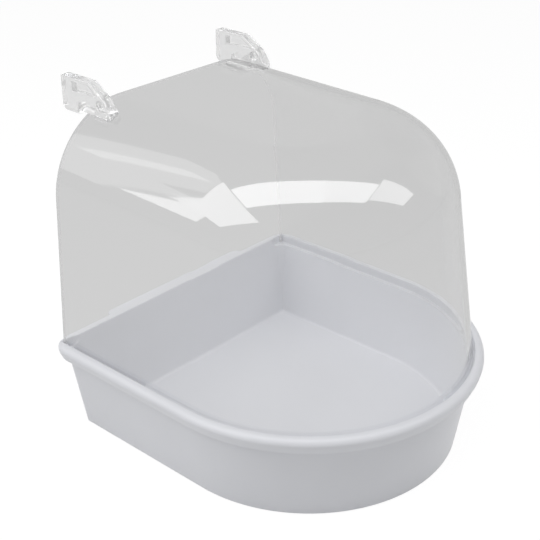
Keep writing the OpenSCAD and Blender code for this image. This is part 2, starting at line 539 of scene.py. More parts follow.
@dataclass(frozen=True)
class ClearFinish:
    """Polished clear plastic with hardly any tint, through which lamps shine.

    Light that comes in through a face from its outer side is tinted by entry, and light that leaves through
    it by leave.

    Attributes:
        name: the material's name.
        entry: what is left of the light on the way in.
        leave: what is left of the light on the way out.
        polish: lowest and highest roughness.
        wave_mm: depth of the slow unevenness.
        wave_strength: how much the unevenness counts.
        wave_scale: waves to a metre.
        rub_scale: rubs to a metre.
        ior: index of refraction, low so that the thin walls hardly bend what is behind them.
        gloss: strength of the polished layer on the outer side of a face.
        gloss_ior: index of the polished layer, which mirrors the lamps.
        gloss_blur: roughness of the polished layer.
        gloss_fade: slant, from 0 face on to 1 edge on, past which the polished layer fades.
        edge: what is left of the tint's light where the wall is seen edge on, through more plastic.
        edge_power: how close to edge on that is.
        lamp_pass: what is left of a lamp's light behind a face.
        clarity: share that is clear, the rest being milky.
    """

    name: str
    entry: float = 1.0
    leave: float = 1.0
    polish: Pair = (0.015, 0.08)
    wave_mm: float = 0.05
    wave_strength: float = 0.4
    wave_scale: float = 22.0
    rub_scale: float = 140.0
    ior: float = 1.1
    gloss: float = 1.0
    gloss_ior: float = 1.95
    gloss_blur: float = 0.05
    gloss_fade: float = 0.6
    edge: float = 1.0
    edge_power: float = 3.0
    lamp_pass: float = 1.0
    clarity: float = 1.0

    def tint(self, tree: Tree, inside: Socket, slant: Socket) -> Socket:
        """The colour of a face, darker edge on. A face passes its square root, so the tints are squared.

        Args:
            tree: the material's node tree.
            inside: 1 where the face is seen from within the plastic.
            slant: 0 face on to 1 edge on.

        Returns:
            The socket that holds the colour.
        """
        colour = mixed_colour(tree, inside, neutral(self.entry**2), neutral(self.leave**2), "MIX")
        thick = worked_out(tree, "POWER", slant, self.edge_power)
        near = worked_out(tree, "SUBTRACT", thick, inside, clamp=True)
        return mixed_colour(tree, near, colour, neutral(self.edge), "MULTIPLY")

    def polished(self, tree: Tree, inside: Socket, slant: Socket) -> Socket:
        """The strength of the polished layer, which only a face's outer side has and which fades edge on.

        Args:
            tree: the material's node tree.
            inside: 1 where the face is seen from within the plastic.
            slant: 0 face on to 1 edge on.

        Returns:
            The socket that holds the strength.
        """
        gloss = tree.nodes.new("ShaderNodeMapRange")
        gloss.interpolation_type = "SMOOTHSTEP"
        gloss.inputs["From Min"].default_value = self.gloss_fade
        gloss.inputs["To Min"].default_value = self.gloss
        gloss.inputs["To Max"].default_value = 0.0
        tree.links.new(slant, gloss.inputs["Value"])
        return worked_out(tree, "SUBTRACT", gloss.outputs["Result"], inside, clamp=True)

    def material(self) -> bpy.types.Material:
        """Builds the material. Lamps and the light between surfaces pass straight through it.

        Returns:
            The material.
        """
        material, tree = blank_material(self.name)
        marks = group_node(
            tree,
            Groups.handling_marks(),
            {
                "Polish": self.polish[0],
                "Rubbed": self.polish[1],
                "Wave Scale": self.wave_scale,
                "Rub Scale": self.rub_scale,
            },
        )
        clear = tree.nodes.new("ShaderNodeBsdfPrincipled")
        clear.inputs["Transmission Weight"].default_value = self.clarity
        clear.inputs["IOR"].default_value = self.ior
        clear.inputs["Coat IOR"].default_value = self.gloss_ior
        clear.inputs["Coat Roughness"].default_value = self.gloss_blur
        link = tree.links.new
        link(marks.outputs["Roughness"], clear.inputs["Roughness"])
        normal = bumped(tree, marks.outputs["Height"], self.wave_strength, self.wave_mm)
        link(normal, clear.inputs["Normal"])
        inside = tree.nodes.new("ShaderNodeNewGeometry").outputs["Backfacing"]
        slant = tree.nodes.new("ShaderNodeLayerWeight").outputs["Facing"]
        link(self.tint(tree, inside, slant), clear.inputs["Base Color"])
        link(self.polished(tree, inside, slant), clear.inputs["Coat Weight"])
        passing = tree.nodes.new("ShaderNodeBsdfTransparent")
        passing.inputs["Color"].default_value = neutral(self.lamp_pass)
        ray = tree.nodes.new("ShaderNodeLightPath").outputs
        through = worked_out(tree, "ADD", ray["Is Shadow Ray"], ray["Is Diffuse Ray"], clamp=True)
        mixed_shader(tree, through, clear.outputs["BSDF"], passing.outputs["BSDF"], tree.nodes["out"])
        return material


TRAY_PLASTIC = MouldedFinish("tray_satin_plastic", (0.722, 0.730, 0.762), (0.698, 0.706, 0.738))
HOOD_OUTER = ClearFinish("hood_clear_outer", entry=0.95, leave=0.95, edge=0.2, lamp_pass=0.97)
HOOD_INNER = ClearFinish("hood_clear_inner", gloss=0.15)
FOOT_OUTER = ClearFinish("foot_clear_outer", entry=0.95, ior=1.03, gloss=0.0, edge=0.75)
FOOT_INNER = ClearFinish("foot_clear_inner", ior=1.03, gloss=0.0, lamp_pass=0.94)
CUT_EDGE = ClearFinish("hood_cut_edge", entry=0.9, leave=0.95, polish=(0.2, 0.35), gloss=0.0, clarity=0.6)
HOOK_CLEAR = ClearFinish(
    "hook_clear_plastic",
    entry=0.97,
    leave=0.99,
    polish=(0.03, 0.12),
    ior=1.4,
    gloss_ior=3.2,
    gloss_blur=0.12,
    edge=0.5,
    lamp_pass=0.9,
    clarity=0.85,
)
STUD_CLEAR = ClearFinish("stud_clear_plastic", ior=1.03, gloss=0.0)


# The object


@dataclass
class Tray:
    """The D-shaped water tray. Its section is r across, measured like the half width, and z up.

    Attributes:
        base_r, base_back, corner_r: half width of the base, its back edge and its back corners' radius.
        height, draft, wall: height to the rim's top, lean of the wall and its thickness.
        floor_fillet, base_edge: roundings inside round the floor and outside under the wall.
        rim_over, rim_h, rim_w: how far the rim stands out, and its height and width.
        rim_edge, rim_low_edge, rim_low_in: its upper and lower rounding, and how far in the lower one sits.
        rim_lean, rim_bend: how far it leans in below, and the share of that which it has reached at a drop
            below the upper rounding.
        rim_wrap_deg, nose_deg: how far it wraps each back corner, and how far before and past that its nose
            runs.
        socket_d, socket_back, socket_fillet: depth of the hood's socket, its back end and its fillet.
        ledge_edge, brim_edge: roundings of the ledge's inner edge and of the edges at the top.
        lip_t, flare_drop: thickness of the lip at the open back, and how far below the ledge it flares out.
        step_w, step_d, step_t, step_edge, step_quick: width, depth and thickness of the doorstep, its lower
            rounding and how fast that comes in along it.
        top_clear, top_band: how far the outside keeps clear of the socket, in this band below the top.
        middle_y: where the floor's and the underside's faces meet.
        ledge_hold, socket_hold, brim_hold, rim_hold, lip_hold, wall_hold: distances at which a row keeps the
            surface straight beside a rounding.
        front_steps, side_steps, corner_steps, back_steps: stations round the D, stretch by stretch.
        side_gap, corner_gaps: gap before a corner, and gaps in degrees beside the socket's corner and before
            and past the nose.
        wall_rows, rim_rows, cap_rows: rows up the wall's inside and down its outside, round the upper and the
            lower edge of rim and lip, and out over the floor and the underside.
        NECK, FLARE, ROOT: soft turns under the rim and under the lip, as steps from the corners they soften.
    """

    base_r: float = 61.0
    base_back: float = 67.3
    corner_r: float = 0.6
    height: float = 38.8
    draft: float = 0.155
    wall: float = 2.0
    floor_fillet: float = 1.4
    base_edge: float = 0.55
    rim_over: float = 3.0
    rim_h: float = 6.2
    rim_w: float = 3.7
    rim_edge: float = 2.4
    rim_low_edge: float = 0.7
    rim_low_in: float = 0.62
    rim_lean: float = 1.2
    rim_bend: Pair = (0.3, 1.5)
    rim_wrap_deg: float = 60.0
    nose_deg: Pair = (8.0, 1.0)
    socket_d: float = 4.0
    socket_back: float = 72.1
    socket_fillet: float = 0.25
    ledge_edge: float = 0.3
    brim_edge: float = 0.45
    lip_t: float = 1.6
    flare_drop: float = 0.4
    step_w: float = 78.0
    step_d: float = 3.0
    step_t: float = 1.8
    step_edge: float = 0.3
    step_quick: float = 3.0
    top_clear: float = 0.5
    top_band: float = 1.0
    middle_y: float = 5.0
    ledge_hold: float = 0.4
    socket_hold: float = 0.75
    brim_hold: float = 0.15
    rim_hold: float = 0.3
    lip_hold: float = 0.2
    wall_hold: Pair = (1.6, 0.4)
    front_steps: int = 161
    side_steps: int = 26
    corner_steps: tuple[int, int, int, int] = (20, 6, 19, 14)
    back_steps: tuple[int, int, int] = (40, 14, 14)
    side_gap: float = 0.25
    corner_gaps: Triple = (0.4, 1.0, 2.0)
    wall_rows: tuple[int, int] = (12, 10)
    rim_rows: tuple[int, int] = (12, 6)
    cap_rows: int = 10
    NECK: ClassVar[tuple[Pair, ...]] = ((0.55, -0.05), (0.12, -0.3), (-0.11, -0.9))
    FLARE: ClassVar[tuple[Pair, ...]] = ((0.0, 0.3), (-0.25, -0.1))
    ROOT: ClassVar[tuple[Pair, ...]] = ((0.3, 0.2), (-0.11, -0.9))

    @property
    def rim_r(self) -> float:
        """Half width at the rim."""
        return self.base_r + self.draft * self.height + self.rim_over

    @property
    def socket_r(self) -> float:
        """Half width of the socket that takes the hood."""
        return self.rim_r - self.rim_w

    @property
    def hub(self) -> Pair:
        """Centre of the right back corner."""
        return self.base_r - self.corner_r, self.base_back - self.corner_r

    def wall_r(self, z: np.ndarray | float) -> np.ndarray | float:
        """Half width of the outside of the wall at a height."""
        return self.base_r + self.draft * z

    def corner_turn(self, square: float) -> np.ndarray:
        """Angles round a back corner, in degrees, closest together along the rim's nose.

        Args:
            square: the angle at which the socket's side and end meet.

        Returns:
            Array (k) from 0 to 90.
        """
        start, end = self.rim_wrap_deg - self.nose_deg[0], self.rim_wrap_deg + self.nose_deg[1]
        beside, before, past = self.corner_gaps
        to_square, to_nose, on_nose, to_back = self.corner_steps
        return np.concatenate(
            [
                np.linspace(0, square - beside, to_square),
                [square],
                np.linspace(square + beside, start - before, to_nose),
                np.linspace(start, end, on_nose),
                np.linspace(end + past, 90, to_back),
            ]
        )

    def back_places(self) -> np.ndarray:
        """Places x of the stations along the back, closest together at the doorstep's ends.

        Returns:
            Array (k) from left to right.
        """
        flat, end, far = self.back_steps
        half = self.step_w / 2
        end_x = half - self.step_d + self.step_d * np.sin(np.linspace(0, math.pi / 2, end))
        flat_x, far_x = np.linspace(0, end_x[0], flat)[1:-1], np.linspace(half, self.hub[0], far)[1:]
        right_x = np.concatenate([flat_x, end_x, far_x])
        return np.concatenate([-right_x[::-1], [0.0], right_x])[1:-1]

    def stations(self) -> dict[str, np.ndarray]:
        """Stations round the D: the front from its right end, the left side, the back and the right side.

        A point at half width r is o + (r - r0) * d. The rim's share runs from 1 to 0 round each back corner
        as a quarter ellipse, which ends it in a round nose, and the doorstep's share does so at its two ends.

        The socket runs straight on past each corner to its end, so in the corner it is as far from the hub
        as the nearer of its side and its end along the station.

        Returns:
            Arrays o (n, 2), d (n, 2), r0 (n), the shares of rim, step and socket (n), and how far the socket
            reaches past its half width (n).
        """
        hx, hy = self.hub
        end = np.array([self.socket_r - hx, self.socket_back - hy])
        front = np.linspace(0, math.pi, self.front_steps)
        side_y = np.append(np.linspace(0, hy, self.side_steps)[1:-1], hy - self.side_gap)
        turn_deg = self.corner_turn(math.degrees(math.atan2(end[1], end[0])))
        turn = np.radians(turn_deg)
        with np.errstate(divide="ignore"):
            far = np.minimum(end[0] / np.cos(turn), end[1] / np.sin(turn)) - end[0]
        back_x = self.back_places()
        zero, one = np.zeros_like, np.ones_like
        o = np.concatenate(
            [
                np.zeros((len(front), 2)),
                np.stack([zero(side_y), side_y], -1),
                np.tile([-hx, hy], (len(turn), 1)),
                np.stack([back_x, np.full_like(back_x, hy)], -1),
                np.tile([hx, hy], (len(turn), 1)),
                np.stack([zero(side_y), side_y[::-1]], -1),
            ]
        )
        d = np.concatenate(
            [
                np.stack([np.cos(front), -np.sin(front)], -1),
                np.stack([-one(side_y), zero(side_y)], -1),
                np.stack([-np.cos(turn), np.sin(turn)], -1),
                np.stack([zero(back_x), one(back_x)], -1),
                np.stack([np.cos(turn[::-1]), np.sin(turn[::-1])], -1),
                np.stack([one(side_y), zero(side_y)], -1),
            ]
        )
        nose = np.clip((turn_deg - self.rim_wrap_deg + self.nose_deg[0]) / sum(self.nose_deg), 0, 1)
        rim_turn = np.sqrt(1 - nose**2)
        past = np.clip((np.abs(back_x) - self.step_w / 2 + self.step_d) / self.step_d, 0, 1)

        def round_d(plain: float, on_turn: np.ndarray, on_back: np.ndarray) -> np.ndarray:
            """An array (n) of one value on front and sides, and of arrays on both corners and the back."""
            side = plain * one(side_y)
            return np.concatenate([plain * one(front), side, on_turn, on_back, on_turn[::-1], side])

        return {
            "o": o,
            "d": d,
            "r0": round_d(0.0, hx * one(turn), hx * one(back_x)),
            "rim": round_d(1.0, rim_turn, zero(back_x)),
            "step": round_d(0.0, zero(turn), np.sqrt(1 - past**2)),
            "socket": round_d(1.0, one(turn), zero(back_x)),
            "reach": round_d(0.0, far, zero(back_x)),
        }

    def inside(self, socket: np.ndarray, reach: np.ndarray) -> np.ndarray:
        """Section of the inside, from the floor up the wall to the flat top.

        Where the hood stands, the wall ends in a ledge and a socket. Elsewhere it runs on to the top. Both
        have the same number of points, so a station is socket * share + plain * rest.

        Args:
            socket: the socket's share at each station (n).
            reach: how far the socket reaches past its half width (n).

        Returns:
            Array (n, k, 2).
        """
        h, ledge_z = self.height, self.height - self.socket_d
        ledge_r, brim_r = self.wall_r(ledge_z) - self.wall, self.wall_r(h) - self.wall
        fillet_z = self.wall + self.floor_fillet
        fillet_r = self.wall_r(fillet_z) - self.wall - self.floor_fillet
        edge, fillet, brim = self.ledge_edge, self.socket_fillet, self.brim_edge
        up = np.linspace(fillet_z, ledge_z - edge - self.ledge_hold, self.wall_rows[0])[1:]
        low = np.concatenate(
            [
                arc(fillet_r, fillet_z, self.floor_fillet, -90, 0, count=9),
                np.stack([self.wall_r(up) - self.wall, up], -1),
            ]
        )
        seat = np.concatenate(
            [
                arc(ledge_r + edge, ledge_z - edge, edge, 170, 90, count=5),
                np.array([[self.socket_r - 2 * fillet, ledge_z]]),
                arc(self.socket_r - fillet, ledge_z + fillet, fillet, -90, 0, count=4),
                np.array([[self.socket_r, h - brim - self.socket_hold]]),
                arc(self.socket_r + brim, h - brim, brim, 180, 90, count=5),
            ]
        )
        turn = arc(brim_r + brim, h - brim, brim, 170, 90, count=5)
        climb = np.linspace(ledge_z - self.ledge_hold, h - brim - self.brim_hold, len(seat) - len(turn))
        plain = np.concatenate([np.stack([self.wall_r(climb) - self.wall, climb], -1), turn])
        past = np.where(seat[:, 0] > ledge_r + self.ledge_hold, 1.0, 0.0)
        seats = seat + np.stack([past * reach[:, None], np.zeros((len(reach), len(seat)))], -1)
        top = plain + socket[:, None, None] * (seats - plain)
        return np.concatenate([np.broadcast_to(low, (len(socket), *low.shape)), top], 1)

    def bead(self, lip: float) -> np.ndarray:
        """Section of the full rim from the flat top down to the wall: a rounded bead that leans in below.

        Args:
            lip: half width of the back lip, where the bead's underside has a row too.

        Returns:
            Array (k, 2).
        """
        h, under, rr, edge = self.height, self.height - self.rim_h, self.rim_r, self.rim_edge
        under_r, low = self.wall_r(under), self.rim_low_edge
        bend, drop = self.rim_bend
        top_rows, low_rows = self.rim_rows
        return np.concatenate(
            [
                np.array([[rr - edge - self.rim_hold, h]]),
                arc(rr - edge, h - edge, edge, 90, 0, top_rows),
                np.array([[rr - bend * self.rim_lean, h - edge - drop]]),
                arc(rr - self.rim_lean - self.rim_low_in, under + low, low, 5, -90, low_rows),
                np.array([[lip, under], [(lip + under_r) / 2, under]]),
                np.array([under_r, under]) + np.array(self.NECK),
            ]
        )

    def outside(self, rim: np.ndarray, step: np.ndarray, reach: np.ndarray) -> np.ndarray:
        """Section of the outside from the flat top down to the wall, blended between rim and back lip.

        The back lip is a thin edge, which carries the doorstep by its share and flares out of the wall. It
        has as many points as the rim's bead, so a station is rim * share + lip * rest.

        Args:
            rim: the rim's share at each station (n).
            step: the doorstep's share at each station (n).
            reach: how far the socket reaches past its half width (n), which the top keeps clear of.

        Returns:
            Array (n, k, 2).
        """
        h, under, edge = self.height, self.height - self.rim_h, self.brim_edge
        lip, low_z = self.socket_r + self.lip_t, self.height - self.step_t
        out = (lip + self.step_d * step)[:, None]
        low = self.step_edge * np.clip(self.step_quick * step, 0, 1)[:, None]
        round_top = arc(0, 0, edge, 90, 0, self.rim_rows[0])
        round_low = arc(0, 0, 1, 0, -90, self.rim_rows[1])
        ones = np.ones((len(rim), 1))
        top_turn = (out - edge + round_top[:, 0], h - edge + round_top[:, 1])
        low_turn = (out - low + low * round_low[:, 0], low_z + low + low * round_low[:, 1])
        upper_r = [out - edge - self.lip_hold, top_turn[0], out, low_turn[0]]
        upper_z = [h, top_turn[1], h - self.step_t / 2, low_turn[1]]
        upper = np.stack([np.concatenate(upper_r, 1), np.concatenate([z * ones for z in upper_z], 1)], -1)
        flare = np.array([lip, h - self.socket_d - self.flare_drop]) + np.array(self.FLARE)
        root = np.array([self.wall_r(under), under]) + np.array(self.ROOT)
        lower = np.concatenate([np.array([[lip, low_z]]), flare, root])
        thin = np.concatenate([upper, np.broadcast_to(lower, (len(rim), *lower.shape))], 1)
        section = thin + rim[:, None, None] * (self.bead(lip) - thin)
        r, z = section[..., 0], section[..., 1]
        inner = (self.socket_r + reach + self.top_clear)[:, None]
        return np.stack([np.where(z > h - self.top_band, np.maximum(r, inner), r), z], -1)

    def build(self) -> Piece:
        """Carries the section round the D and closes the floor and the underside towards a middle point.

        Where the section lies inside a corner's hub, sides and back run on to the mitre line between them.

        Returns:
            The tray's visual piece.
        """
        s = self.stations()
        count = len(s["r0"])
        top_hold, base_hold = self.wall_hold
        down = np.linspace(self.height - self.rim_h - top_hold, self.base_edge + base_hold, self.wall_rows[1])
        wall = np.stack([self.wall_r(down), down], -1)
        foot_r = self.wall_r(self.base_edge) - self.base_edge
        below = np.concatenate([wall, arc(foot_r, self.base_edge, self.base_edge, 0, -90, count=8)])
        section = np.concatenate(
            [
                self.inside(s["socket"], s["reach"]),
                self.outside(s["rim"], s["step"], s["reach"]),
                np.broadcast_to(below, (count, *below.shape)),
            ],
            1,
        )
        away = np.maximum(section[..., 0] - s["r0"][:, None], 0)[..., None]
        plan = s["o"][:, None, :] + away * s["d"][:, None, :]
        hx, hy = self.hub
        plan[..., 0] = np.clip(plan[..., 0], -section[..., 0], section[..., 0])
        plan[..., 1] = np.minimum(plan[..., 1], hy - hx + section[..., 0])
        ring = np.concatenate([plan, section[..., 1:]], -1)
        middle = np.array([0.0, self.middle_y])
        shrink = np.linspace(0, 1, self.cap_rows)[None, :-1, None]

        def cap(edge: np.ndarray) -> np.ndarray:
            """Rows from the middle point out to a level edge (n, 3)."""
            flat = middle + shrink * (edge[:, None, :2] - middle)
            return np.concatenate([flat, np.broadcast_to(edge[:, None, 2:], (*flat.shape[:2], 1))], -1)

        grid = np.concatenate([cap(ring[:, 0]), ring, cap(ring[:, -1])[:, ::-1]], 1)
        rows = grid.shape[1]
        i, j = np.meshgrid(np.arange(count), np.arange(rows - 1), indexing="ij")
        here, ahead = i * rows + j, (i + 1) % count * rows + j
        faces = np.stack([here, ahead, ahead + 1, here + 1], -1).reshape(-1, 4)
        obj = mesh_piece("tray_moulding", grid.reshape(-1, 3), faces)
        smoothed(obj)
        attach(obj, "tray")
        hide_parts("tray")
        return obj

    def dress(self, obj: Piece) -> None:
        """Gives the tray its satin plastic."""
        obj.data.materials.append(TRAY_PLASTIC.material())


@dataclass
class Hood:
    """The clear vaulted hood, open below and at the back, with a hole in each shoulder for a hook's stud.

    Attributes:
        foot_r, foot_z, foot_h: half width of the foot, where it stands and how much of it is in the tray.
        top, fall: height of the crown at the back, and how it falls towards the front.
        wall, back: thickness of the wall, and the open back's edge.
        shoulder_r, brow_r: radius of the turn into the crown, over the sides and over the front.
        side_draft, front_draft: lean of the sides and of the front.
        hole_x, hole_y: edges of the stud hole on the right, mirrored on the left.
        edge: rounding of the wall's edges.
        front_steps, side_steps: stations round the front, and behind, along and before a stud hole.
        wall_rows, turn_rows, crown_rows: rows up the wall, in the turn below, across and above a stud hole,
            and on the crown.
    """

    foot_r: float = 66.014
    foot_z: float = 34.9
    foot_h: float = 3.9
    top: float = 132.5
    fall: float = 0.025
    wall: float = 2.0
    back: float = 71.8
    shoulder_r: float = 35.0
    brow_r: float = 34.3
    side_draft: float = 0.058
    front_draft: float = 0.173
    hole_x: Pair = (40.45, 43.15)
    hole_y: Pair = (62.05, 68.35)
    edge: Rounding = Rounding(width_mm=0.2, angle_deg=55.0, segments=2)
    front_steps: int = 181
    side_steps: tuple[int, int, int] = (4, 6, 26)
    wall_rows: int = 12
    turn_rows: tuple[int, int, int] = (39, 4, 16)
    crown_rows: int = 9

    @property
    def side_lean(self) -> float:
        """Angle of the sides from upright."""
        return math.atan(self.side_draft)

    @property
    def crown_half(self) -> float:
        """Half width of the flat crown."""
        straight = self.side_draft * (self.top - self.shoulder_r - self.foot_z)
        return self.foot_r - straight - self.shoulder_r / math.cos(self.side_lean)

    def fallen(self, y: np.ndarray, z: np.ndarray) -> np.ndarray:
        """Height of a point once the top's fall towards the front is taken off, in step with its height."""
        return z - self.fall * (self.back - y) * (z - self.foot_z) / (self.top - self.foot_z)

    def profile(self, draft: float, r: float, skin: float, rise: np.ndarray, turn: np.ndarray) -> np.ndarray:
        """A leaning wall that runs smoothly into a turn up to the crown, as (step in from the foot, height).

        Args:
            draft: lean of the wall.
            r: radius of the turn on the outer skin.
            skin: distance in from the outer skin.
            rise: shares of the straight wall.
            turn: shares of the turn, from the wall's lean to level.

        Returns:
            Array (rows, 2).
        """
        lean, turn_z, inner = math.atan(draft), self.top - r, r - skin
        reach = draft * (turn_z - self.foot_z) + r / math.cos(lean)
        angle = lean + (math.pi / 2 - lean) * turn
        turned = np.stack([reach - inner * np.cos(angle), turn_z + inner * np.sin(angle)], -1)
        foot = np.array([skin / math.cos(lean), self.foot_z])
        return np.concatenate([foot + rise[:, None] * (turned[0] - foot), turned])

    def stations(self) -> tuple[np.ndarray, np.ndarray]:
        """Stations from the right back corner round the front to the left one.

        Returns:
            Their angles round the front (n), and their places y along the straight sides (n).
        """
        low, high = self.hole_y
        behind, beside, before = self.side_steps
        stretches = (
            np.linspace(self.back, high, behind),
            np.linspace(high, low, beside),
            np.linspace(low, 0, before),
        )
        side = np.unique(np.concatenate(stretches))[::-1]
        front = np.linspace(0, math.pi, self.front_steps)
        angle = np.concatenate([np.zeros(len(side) - 1), front, np.full(len(side) - 1, math.pi)])
        along = np.concatenate([side[:-1], np.zeros(len(front)), side[::-1][1:]])
        return angle, along

    def rows(self, skin: float) -> tuple[np.ndarray, np.ndarray, np.ndarray]:
        """Where a skin is cut into rows.

        Rows lie on the top of the foot, which stands in the tray, and on both edges of the stud holes.

        Args:
            skin: distance in from the outer skin.

        Returns:
            Shares of the wall, of the turn and of the crown.
        """
        lean, inner = self.side_lean, self.shoulder_r - skin
        wall_h = self.top - self.shoulder_r + inner * math.sin(lean) - self.foot_z
        foot = self.foot_h / wall_h
        rise = np.concatenate([[0.0, foot], np.linspace(foot, 1, self.wall_rows)[1:-1]])
        angles = np.arccos((np.array(self.hole_x[::-1]) - self.crown_half) / inner)
        edges = (angles - lean) / (math.pi / 2 - lean)
        below, across, above = self.turn_rows
        turn = np.concatenate(
            [
                np.linspace(0, edges[0], below + 1)[:-1],
                np.linspace(edges[0], edges[1], across + 1)[:-1],
                np.linspace(edges[1], 1, above),
            ]
        )
        return rise, turn, np.linspace(0, 1, self.crown_rows)[1:]

    def skin(self, skin: float) -> np.ndarray:
        """Points of one skin.

        The straight sides carry the side profile along y. Round the front, x takes the side profile times the
        cosine of the front angle, y the front profile times its sine, and the height passes from one profile
        to the other with the sine squared. The crown runs level across to its middle line.

        Args:
            skin: distance in from the outer skin.

        Returns:
            Array (stations, rows, 3).
        """
        rise, turn, crown = self.rows(skin)
        angle, along = self.stations()
        side = self.profile(self.side_draft, self.shoulder_r, skin, rise, turn)
        front = self.profile(self.front_draft, self.brow_r, skin, rise, turn)
        c, s = np.cos(angle)[:, None], np.sin(angle)[:, None]
        x = (self.foot_r - side[:, 0]) * c
        y = along[:, None] - (self.foot_r - front[:, 0]) * s
        z = self.fallen(y, side[:, 1] * (1 - s**2) + front[:, 1] * s**2)
        vault = np.stack([x, y, z], -1)
        edge = vault[:, -1]
        mid_y = along[:, None] + (edge[:, 1] - along)[:, None] * (1 - crown)
        mid_z = self.fallen(mid_y, np.full_like(mid_y, self.top - skin))
        level = np.stack([edge[:, :1] * (1 - crown), mid_y, mid_z], -1)
        return np.concatenate([vault, level], 1)

    def cells(self) -> np.ndarray:
        """Which cells of a skin are wall.

        Returns:
            Array (stations - 1, rows - 1), False in the stud holes.
        """
        angle, along = self.stations()
        rise, turn, crown = self.rows(0.0)
        below, across, _ = self.turn_rows
        middle = (along[1:] + along[:-1]) / 2
        beside = (angle[1:] == angle[:-1]) & (middle > self.hole_y[0]) & (middle < self.hole_y[1])
        row = np.arange(len(rise) + len(turn) + len(crown) - 1) - len(rise) - below
        return ~(beside[:, None] & (row >= 0) & (row < across))

    def build(self) -> Piece:
        """Joins both skins by a strip of wall along every open edge.

        An open edge lies between a cell of wall and one that is none, and runs up a station or along a row.
        The crown's middle line is no open edge, because both halves meet there.

        Returns:
            The hood's visual piece.
        """
        outer, inner = self.skin(0.0), self.skin(self.wall)
        n, rows = outer.shape[:2]
        shift = n * rows
        wall = self.cells()
        i, j = np.nonzero(wall)
        a = i * rows + j
        skin = np.stack([a, a + rows, a + rows + 1, a + 1], -1)
        padded = np.pad(wall, 1)
        padded[:, -1] = padded[:, -2]
        strips = []
        for up_station, ahead in ((True, 1), (False, rows)):
            here = padded[1:, 1:-1] if up_station else padded[1:-1, 1:]
            before = padded[:-1, 1:-1] if up_station else padded[1:-1, :-1]
            p, q = np.nonzero(here != before)
            start = p * rows + q
            end = start + ahead
            turned = here[p, q] == up_station
            first, second = np.where(turned, start, end), np.where(turned, end, start)
            strips.append(np.stack([first, second, second + shift, first + shift], -1))
        edge = np.concatenate(strips)
        faces = np.concatenate([skin, skin[:, ::-1] + shift, edge])
        points = np.concatenate([outer.reshape(-1, 3), inner.reshape(-1, 3)])
        in_foot, under_foot = j == 0, (edge % shift % rows == 0).all(1)
        slots = np.concatenate(
            [
                np.where(in_foot, Skin.FOOT_OUTER.value, Skin.OUTER.value),
                np.where(in_foot, Skin.FOOT_INNER.value, Skin.INNER.value),
                np.where(under_foot, Skin.FOOT_INNER.value, Skin.CUT_EDGE.value),
            ]
        )
        obj = mesh_piece("hood_vault", points, faces, slots)
        smoothed(obj, self.edge)
        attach(obj, "hood")
        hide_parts("hood")
        return obj

    def dress(self, obj: Piece) -> None:
        """Gives each skin its clear plastic."""
        for finish in (HOOD_OUTER, HOOD_INNER, FOOT_OUTER, FOOT_INNER, CUT_EDGE):
            obj.data.materials.append(finish.material())


@dataclass
class Hook:
    """A clear hook, with the edges of its ribs and pockets rounded as they come out of a mould.

    Attributes:
        side: which of the two it is.
        edge: rounding of its edges.
        flat_deg: faces that turn by less than this are joined to one.
        centre_x, stud_w, stud_top: middle, width and top of the stud.
        stud_slack: what the stud's faces may lie past its width.
    """

    side: Side
    edge: Rounding = Rounding(width_mm=0.5, angle_deg=35.0, segments=3)
    flat_deg: float = 1.0
    centre_x: float = 41.8
    stud_w: float = 2.4
    stud_top: float = 128.5
    stud_slack: float = 0.024

    def build(self) -> Piece:
        """Copies the hook's solid, merges its loose triangles and rounds its edges.

        Returns:
            The hook's visual piece.
        """
        node = self.side.value
        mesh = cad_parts[node].data.copy()
        mesh.name = node + "_clear"
        mesh.materials.clear()
        bm = bmesh.new()
        bm.from_mesh(mesh)
        bmesh.ops.remove_doubles(bm, verts=bm.verts, dist=SLIVER_M)
        bmesh.ops.dissolve_limit(
            bm,
            angle_limit=math.radians(self.flat_deg),
            verts=bm.verts,
            edges=bm.edges,
            use_dissolve_boundaries=False,
        )
        bm.to_mesh(mesh)
        bm.free()
        middle = np.empty(3 * len(mesh.polygons), np.float32)
        mesh.polygons.foreach_get("center", middle)
        x, _, z = middle.reshape(-1, 3).T / MM
        stud = (np.abs(np.abs(x) - self.centre_x) < self.stud_w / 2 + self.stud_slack) & (z < self.stud_top)
        mesh.polygons.foreach_set("material_index", stud.astype(np.int32))
        obj = linked(node + "_clear", mesh)
        log.info("%s: %d points, %d faces", obj.name, len(mesh.vertices), len(mesh.polygons))
        smoothed(obj, self.edge)
        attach(obj, node)
        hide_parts(node)
        return obj

    def dress(self, obj: Piece) -> None:
        """Gives the hook its clear plastic, and its stud one that hardly shows in its hole."""
        for finish in (HOOK_CLEAR, STUD_CLEAR):
            obj.data.materials.append(bpy.data.materials.get(finish.name) or finish.material())


# The studio


